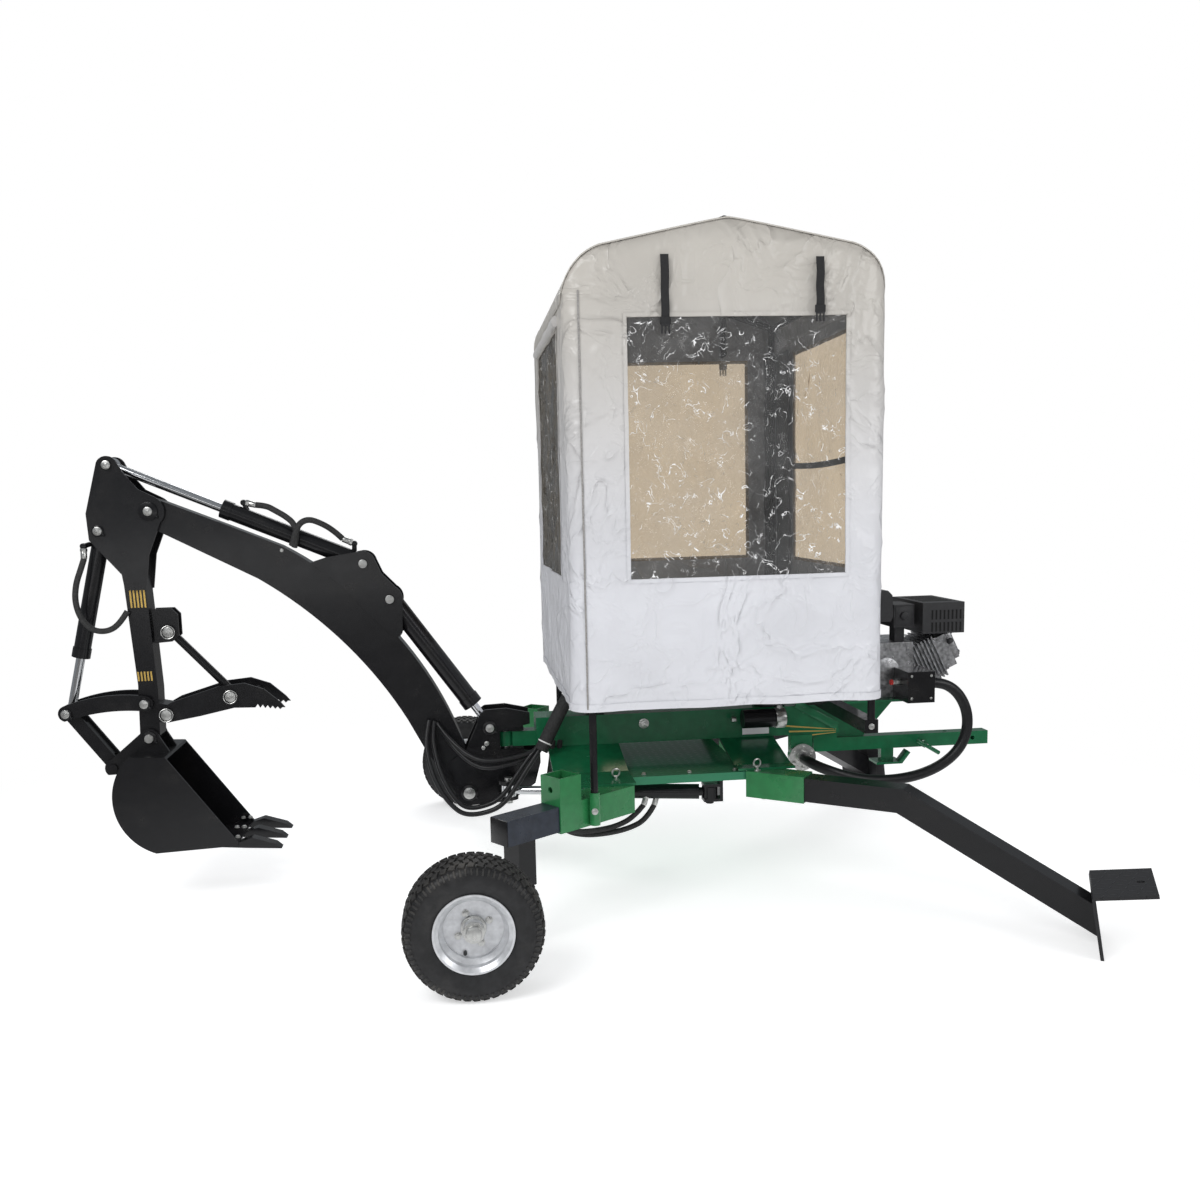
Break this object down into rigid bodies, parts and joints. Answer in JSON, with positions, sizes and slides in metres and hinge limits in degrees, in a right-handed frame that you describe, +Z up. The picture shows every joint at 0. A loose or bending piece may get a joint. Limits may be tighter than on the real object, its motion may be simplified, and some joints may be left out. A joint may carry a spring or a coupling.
{
  "type": "towable atv backhoe",
  "caption": "Towable compact backhoe with its own engine and a canvas cabin: boom, arm and bucket swing and dig from a frame on wheels and stabiliser feet.",
  "frame": {"origin": "middle of the machine's length and width, on the ground", "axes": "+X from the digging arm along the beam to the drawbar, +Y to the far side, +Z up"},
  "size_m": [3.4552, 2.2834, 2.222],
  "materials": {
    "canvas": "coated",
    "control": "satin",
    "engine_black": "satin",
    "engine_metal": "cast",
    "engine_plastic": "matte",
    "filter": "gloss",
    "frame_black": "gloss",
    "frame_green": "gloss",
    "pump": "satin",
    "rim": "silver",
    "rod": "polished",
    "rubber": "matte",
    "seat": "matte",
    "tyre": "matte",
    "window": "clear vinyl",
    "zinc": "zinc plated"
  },
  "bodies": {
    "chassis": {"air_cleaner": "engine_plastic", "cabin_frame": "frame_black", "cabin_windows": "window", "canvas_boom_end": "canvas", "canvas_drawbar_end": "canvas", "canvas_far": "canvas", "canvas_near": "canvas", "canvas_roof": "canvas", "control_valve": "control", "cross_beam": "frame_black", "drawbar": "frame_green", "engine_block": "engine_metal", "engine_mount": "frame_green", "foot_leg_sleeves": "frame_green", "foot_legs": "frame_black", "foot_plates": "frame_black", "fuel_tank": "engine_black", "main_frame": "frame_green", "muffler_guard": "engine_black", "oil_filter": "filter", "platform": "frame_green", "pump": "pump", "seat": "seat", "stow_sockets": "frame_green", "suction_flange": "zinc", "suction_hose": "rubber", "suction_housing": "frame_green", "swing_bracket": "frame_black", "wheel_carriers": "frame_black", "wheel_leg_sleeves": "frame_green", "wheel_legs": "frame_black", "wing_plates": "frame_green"},
    "swing_post": {"swing_frame": "frame_black", "swing_pins": "zinc"},
    "boom": {"boom": "frame_black", "boom_pins": "zinc"},
    "arm": {"arm": "frame_black", "arm_pins": "zinc", "thumb": "frame_black"},
    "bucket": {"bucket": "frame_black", "bucket_teeth": "frame_black"},
    "guide_link": {"guide_links": "frame_black"},
    "bucket_link": {"bucket_link": "frame_black"},
    "swing_barrel": {"swing_barrel": "frame_black"},
    "swing_rod": {"swing_rod": "rod"},
    "lift_barrel": {"lift_barrel": "frame_black"},
    "lift_rod": {"lift_rod": "rod"},
    "crowd_barrel": {"crowd_barrel": "frame_black"},
    "crowd_rod": {"crowd_rod": "rod"},
    "curl_barrel": {"curl_barrel": "frame_black"},
    "curl_rod": {"curl_rod": "rod"},
    "wheel_near": {"rim_near": "rim", "tyre_near": "tyre"},
    "wheel_far": {"rim_far": "rim", "tyre_far": "tyre"}
  },
  "joints": [
    {"name": "swing", "type": "hinge", "parent": "chassis", "child": "swing_post", "pos_m": [-0.1796, 0, 0.5], "axis": [0, 0, 1], "range_deg": [-60, 60]},
    {"name": "boom_lift", "type": "hinge", "parent": "swing_post", "child": "boom", "pos_m": [-0.3186, 0, 0.326], "axis": [0, 1, 0], "range_deg": [-40, 12]},
    {"name": "arm_crowd", "type": "hinge", "parent": "boom", "child": "arm", "pos_m": [-1.3736, 0, 1.369], "axis": [0, 1, 0], "range_deg": [-5, 75]},
    {"name": "bucket_curl", "type": "hinge", "parent": "arm", "child": "bucket", "pos_m": [-1.4266, 0, 0.581], "axis": [0, 1, 0], "range_deg": [-50, 45]},
    {"name": "guide_turn", "type": "hinge", "parent": "arm", "child": "guide_link", "pos_m": [-1.4336, 0, 0.704], "axis": [0, 1, 0], "range_deg": [-37, 33]},
    {"name": "link_turn", "type": "hinge", "parent": "guide_link", "child": "bucket_link", "pos_m": [-1.6996, 0, 0.681], "axis": [0, 1, 0], "range_deg": [-14, 15]},
    {"name": "swing_barrel_turn", "type": "hinge", "parent": "chassis", "child": "swing_barrel", "pos_m": [0.5104, -0.3, 0.352], "axis": [0, 0, 1], "range_deg": [-4, 4]},
    {"name": "swing_rod_slide", "type": "slide", "parent": "swing_barrel", "child": "swing_rod", "axis": [-0.9742, 0.2259, 0], "range_m": [-0.127, 0.127]},
    {"name": "lift_barrel_turn", "type": "hinge", "parent": "boom", "child": "lift_barrel", "pos_m": [-0.5716, 0, 1.039], "axis": [0, 1, 0], "range_deg": [-7, 3]},
    {"name": "lift_rod_slide", "type": "slide", "parent": "lift_barrel", "child": "lift_rod", "axis": [0.5747, 0, -0.8183], "range_m": [-0.05, 0.161]},
    {"name": "crowd_barrel_turn", "type": "hinge", "parent": "boom", "child": "crowd_barrel", "pos_m": [-0.6586, 0, 1.167], "axis": [0, 1, 0], "range_deg": [-2, 12]},
    {"name": "crowd_rod_slide", "type": "slide", "parent": "crowd_barrel", "child": "crowd_rod", "axis": [-0.9185, 0, 0.3954], "range_m": [-0.205, 0.016]},
    {"name": "curl_barrel_turn", "type": "hinge", "parent": "arm", "child": "curl_barrel", "pos_m": [-1.5446, 0, 1.307], "axis": [0, 1, 0], "range_deg": [-6, 5]},
    {"name": "curl_rod_slide", "type": "slide", "parent": "curl_barrel", "child": "curl_rod", "axis": [-0.2403, 0, -0.9707], "range_m": [-0.138, 0.153]},
    {"name": "wheel_near_spin", "type": "hinge", "parent": "chassis", "child": "wheel_near", "pos_m": [-0.32462, -1.005, 0.199], "axis": [0, 1, 0], "continuous": true},
    {"name": "wheel_far_spin", "type": "hinge", "parent": "chassis", "child": "wheel_far", "pos_m": [-0.32462, 1.005, 0.199], "axis": [0, 1, 0], "continuous": true}
  ],
  "couplings": [
    {"joint": "guide_turn", "follows": "bucket_curl", "ratio": 0.7012},
    {"joint": "link_turn", "follows": "bucket_curl", "ratio": -0.2691},
    {"joint": "curl_barrel_turn", "follows": "bucket_curl", "ratio": 0.0842},
    {"joint": "curl_rod_slide", "follows": "bucket_curl", "m_per_rad": -0.1727},
    {"joint": "swing_barrel_turn", "follows": "swing", "ratio": -0.0499},
    {"joint": "swing_rod_slide", "follows": "swing", "m_per_rad": -0.1193},
    {"joint": "lift_barrel_turn", "follows": "boom_lift", "ratio": 0.1336},
    {"joint": "lift_rod_slide", "follows": "boom_lift", "m_per_rad": -0.2275},
    {"joint": "crowd_barrel_turn", "follows": "arm_crowd", "ratio": 0.1389},
    {"joint": "crowd_rod_slide", "follows": "arm_crowd", "m_per_rad": -0.1544}
  ]
}
